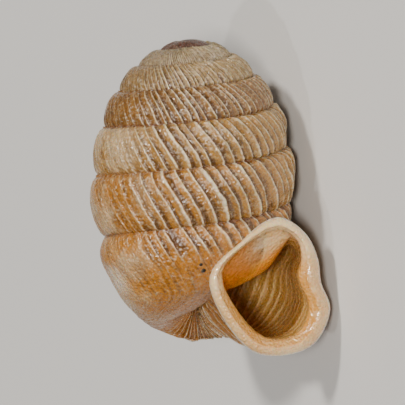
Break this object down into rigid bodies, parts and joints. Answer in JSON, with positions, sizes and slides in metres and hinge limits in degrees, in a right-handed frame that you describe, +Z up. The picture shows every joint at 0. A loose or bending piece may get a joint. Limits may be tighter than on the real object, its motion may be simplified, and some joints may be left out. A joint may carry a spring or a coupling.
{
  "type": "land snail shell",
  "caption": "Empty shell of a tiny beehive-shaped land snail, finely ribbed, coiled to the right, with a turned-back heart-shaped lip. Lies on its side.",
  "frame": {"origin": "under the middle of the shell's box, on the surface it lies on", "axes": "+Z up from the surface, +Y along the coiling axis towards the apex, lip at the -Y end on the +X side, with its opening facing +X and up"},
  "size_m": [0.0022, 0.0032, 0.0021],
  "materials": {
    "shell": "thin glossy horn-coloured shell with pale ribs and a cream lip"
  },
  "bodies": {
    "root": {"shell": "shell"}
  },
  "joints": []
}
